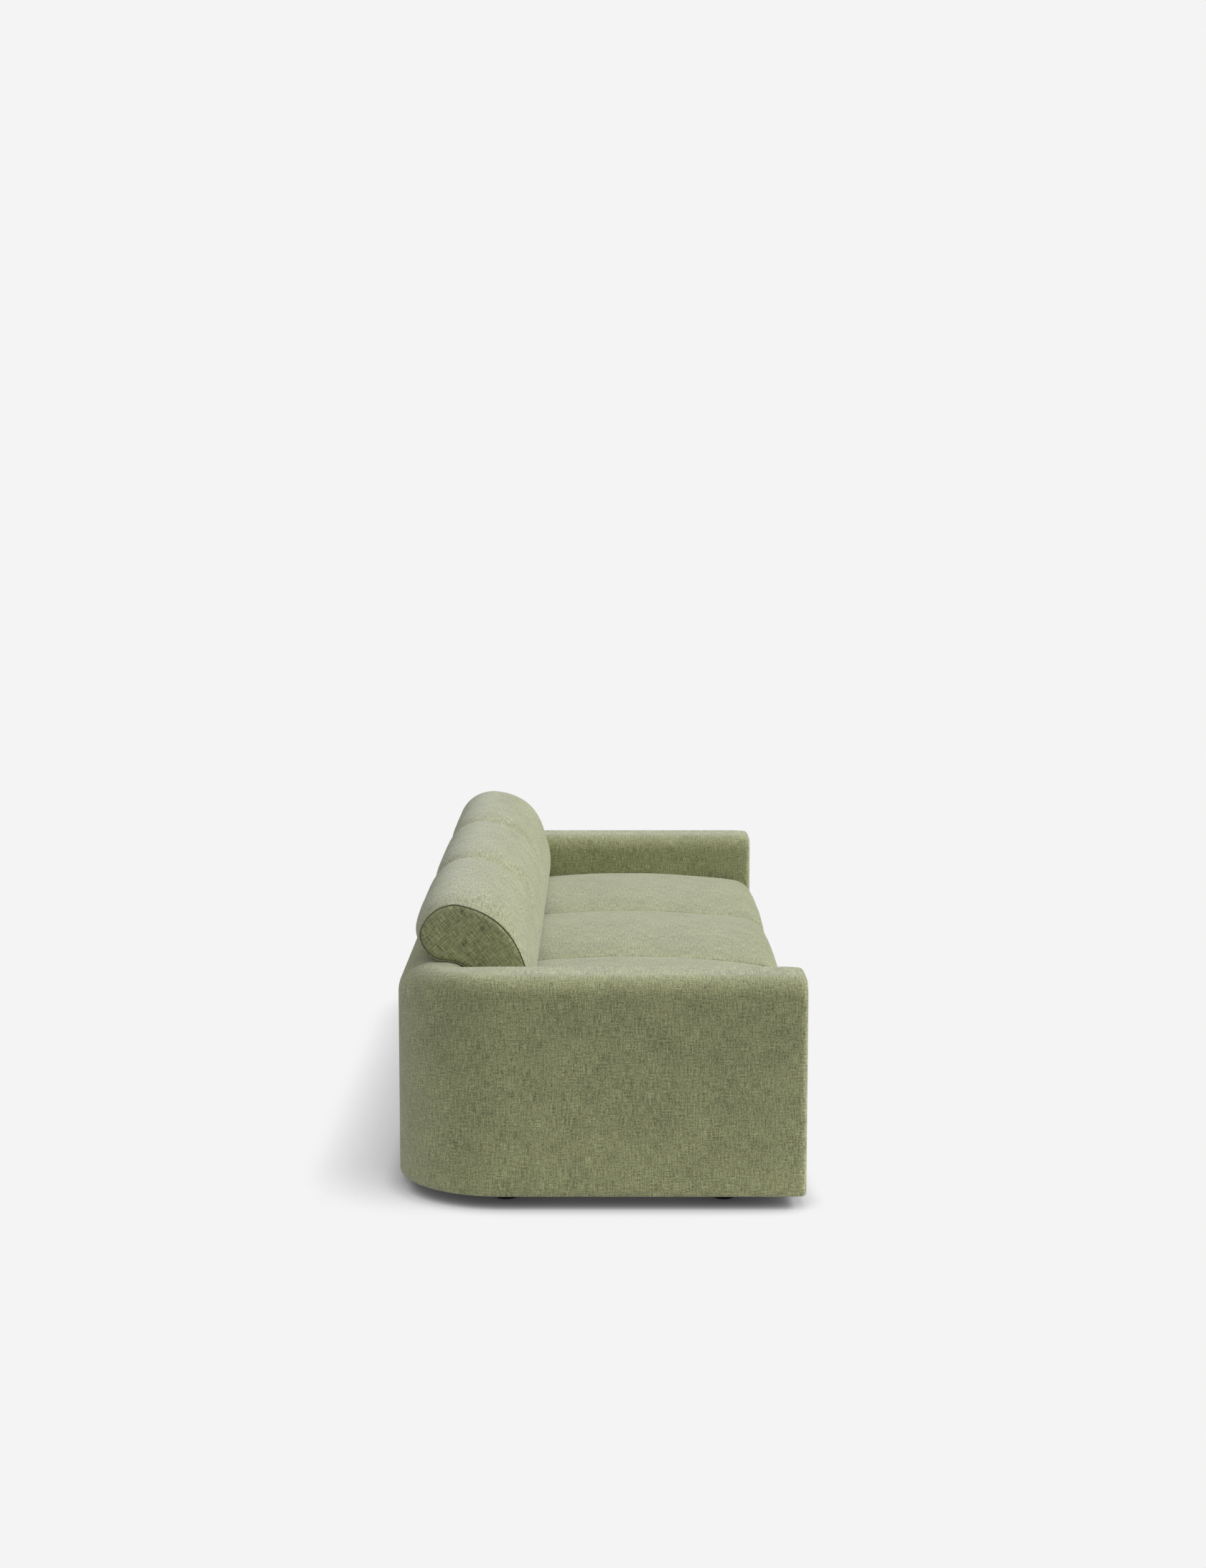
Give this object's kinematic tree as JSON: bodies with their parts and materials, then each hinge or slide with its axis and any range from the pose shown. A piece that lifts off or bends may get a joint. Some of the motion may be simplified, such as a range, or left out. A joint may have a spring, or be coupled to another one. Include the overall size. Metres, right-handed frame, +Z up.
{
  "type": "modular sofa",
  "caption": "Low modular sofa with a rounded upholstered surround, loose crowned seat cushions and back bolsters that hook over the low back; modules push together.",
  "frame": {"origin": "on the floor under the middle of the sofa", "axes": "+X along the sofa to the right-hand arm as seen from the front, -Y towards the front, +Z up"},
  "size_m": [2.5, 0.98, 0.7144],
  "materials": {
    "fabric": "mottled sage-green pile fabric",
    "foam": "open-cell foam",
    "filling": "fibre filling",
    "timber": "raw plywood",
    "webbing": "woven elastic belt",
    "lining": "thin black non-woven cloth",
    "foot": "moulded black plastic with a steel stud",
    "steel": "zinc-plated steel",
    "zip": "nylon zip, dyed to the fabric"
  },
  "bodies": {
    "left_module": {"left_base_cover": "fabric", "left_base_frame": "timber", "left_connector_screws": "steel", "left_connectors": "steel", "left_dust_cover": "lining", "left_feet": "foot", "left_frame_bolts": "steel", "left_surround_cover": "fabric", "left_surround_frame": "timber", "left_surround_padding": "foam", "left_webbing": "webbing"},
    "left_seat": {"left_seat_cover": "fabric", "left_seat_foam": "foam", "left_seat_zip": "zip"},
    "left_seat_zip_slider": {"left_seat_zip_slider": "steel"},
    "left_bolster": {"left_bolster_cover": "fabric", "left_bolster_filling": "filling", "left_bolster_zip": "zip"},
    "left_bolster_zip_slider": {"left_bolster_zip_slider": "steel"},
    "centre_module": {"centre_back_cover": "fabric", "centre_back_frame": "timber", "centre_back_padding": "foam", "centre_base_cover": "fabric", "centre_base_frame": "timber", "centre_connector_screws": "steel", "centre_connectors": "steel", "centre_dust_cover": "lining", "centre_feet": "foot", "centre_frame_bolts": "steel", "centre_webbing": "webbing"},
    "centre_seat": {"centre_seat_cover": "fabric", "centre_seat_foam": "foam", "centre_seat_zip": "zip"},
    "centre_seat_zip_slider": {"centre_seat_zip_slider": "steel"},
    "centre_bolster": {"centre_bolster_cover": "fabric", "centre_bolster_filling": "filling", "centre_bolster_zip": "zip"},
    "centre_bolster_zip_slider": {"centre_bolster_zip_slider": "steel"},
    "right_module": {"right_base_cover": "fabric", "right_base_frame": "timber", "right_connector_screws": "steel", "right_connectors": "steel", "right_dust_cover": "lining", "right_feet": "foot", "right_frame_bolts": "steel", "right_surround_cover": "fabric", "right_surround_frame": "timber", "right_surround_padding": "foam", "right_webbing": "webbing"},
    "right_seat": {"right_seat_cover": "fabric", "right_seat_foam": "foam", "right_seat_zip": "zip"},
    "right_seat_zip_slider": {"right_seat_zip_slider": "steel"},
    "right_bolster": {"right_bolster_cover": "fabric", "right_bolster_filling": "filling", "right_bolster_zip": "zip"},
    "right_bolster_zip_slider": {"right_bolster_zip_slider": "steel"}
  },
  "joints": [
    {"name": "left_module_slide", "type": "slide", "parent": "centre_module", "child": "left_module", "axis": [-1, 0, 0], "range_m": [0, 0.3]},
    {"name": "right_module_slide", "type": "slide", "parent": "centre_module", "child": "right_module", "axis": [1, 0, 0], "range_m": [0, 0.3]},
    {"name": "left_seat_slide", "type": "slide", "parent": "left_module", "child": "left_seat", "axis": [0, -1, 0], "range_m": [0, 0.8]},
    {"name": "left_bolster_lift", "type": "slide", "parent": "left_module", "child": "left_bolster", "axis": [0, 0, 1], "range_m": [0, 0.3]},
    {"name": "left_seat_zip_slide", "type": "slide", "parent": "left_seat", "child": "left_seat_zip_slider", "axis": [1, 0, 0], "range_m": [0, 0.588]},
    {"name": "left_bolster_zip_slide", "type": "slide", "parent": "left_bolster", "child": "left_bolster_zip_slider", "axis": [1, 0, 0], "range_m": [0, 0.588]},
    {"name": "centre_seat_slide", "type": "slide", "parent": "centre_module", "child": "centre_seat", "axis": [0, -1, 0], "range_m": [0, 0.8]},
    {"name": "centre_bolster_lift", "type": "slide", "parent": "centre_module", "child": "centre_bolster", "axis": [0, 0, 1], "range_m": [0, 0.3]},
    {"name": "centre_seat_zip_slide", "type": "slide", "parent": "centre_seat", "child": "centre_seat_zip_slider", "axis": [1, 0, 0], "range_m": [0, 0.588]},
    {"name": "centre_bolster_zip_slide", "type": "slide", "parent": "centre_bolster", "child": "centre_bolster_zip_slider", "axis": [1, 0, 0], "range_m": [0, 0.588]},
    {"name": "right_seat_slide", "type": "slide", "parent": "right_module", "child": "right_seat", "axis": [0, -1, 0], "range_m": [0, 0.8]},
    {"name": "right_bolster_lift", "type": "slide", "parent": "right_module", "child": "right_bolster", "axis": [0, 0, 1], "range_m": [0, 0.3]},
    {"name": "right_seat_zip_slide", "type": "slide", "parent": "right_seat", "child": "right_seat_zip_slider", "axis": [1, 0, 0], "range_m": [0, 0.588]},
    {"name": "right_bolster_zip_slide", "type": "slide", "parent": "right_bolster", "child": "right_bolster_zip_slider", "axis": [1, 0, 0], "range_m": [0, 0.588]}
  ]
}
